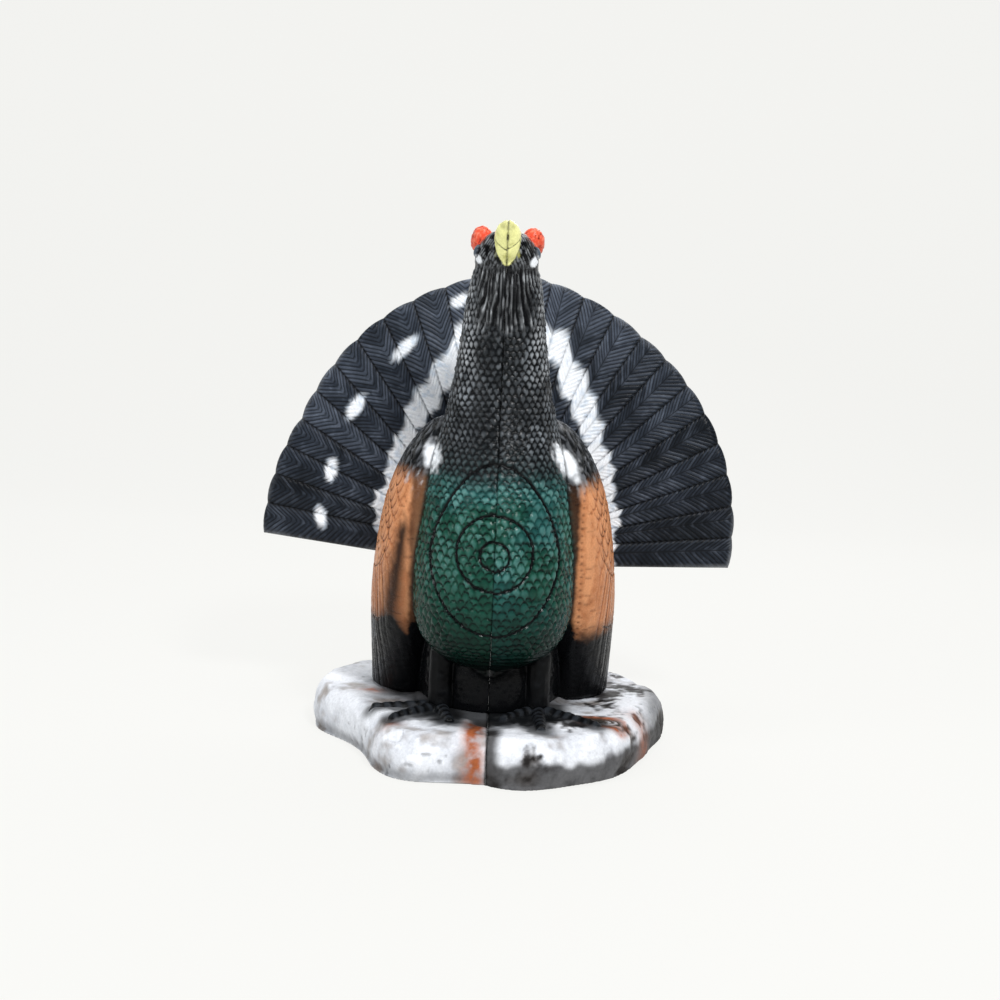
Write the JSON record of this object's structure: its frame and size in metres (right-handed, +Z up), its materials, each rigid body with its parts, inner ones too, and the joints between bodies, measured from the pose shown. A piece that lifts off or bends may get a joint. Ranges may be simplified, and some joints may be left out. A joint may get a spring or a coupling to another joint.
{
  "type": "capercaillie decoy",
  "caption": "Foam capercaillie decoy in full display, with a lift-off body and a pull-out tail fan, on a rock base with stake bores.",
  "frame": {"origin": "on the base's flat underside, midway between the two stake bores", "axes": "+Z up, -Y the way the bird faces, +X the bird's own left"},
  "size_m": [0.6645, 0.4544, 0.681],
  "materials": {
    "body_foam": "painted self-healing foam, satin",
    "fan_foam": "painted self-healing foam, satin",
    "base_foam": "painted self-healing foam, matt",
    "sleeve_plastic": "moulded",
    "tongue_wood": "sawn plywood",
    "dowel_wood": "turned",
    "rod_fibreglass": "pultruded rod"
  },
  "bodies": {
    "base": {"left_base_half": "base_foam", "right_base_half": "base_foam", "base_dowels": "dowel_wood", "left_stake_tube": "sleeve_plastic", "right_stake_tube": "sleeve_plastic"},
    "body": {"left_body_half": "body_foam", "right_body_half": "body_foam", "body_dowels": "dowel_wood", "neck_rod": "rod_fibreglass", "tail_socket": "sleeve_plastic"},
    "tail": {"tail_fan": "fan_foam", "tail_tongue": "tongue_wood"}
  },
  "joints": [
    {"name": "body_lift", "type": "slide", "parent": "base", "child": "body", "axis": [0, 0, 1], "range_m": [0, 0.11]},
    {"name": "tail_pull", "type": "slide", "parent": "body", "child": "tail", "axis": [0, 0.0872, 0.9962], "range_m": [0, 0.09]}
  ]
}
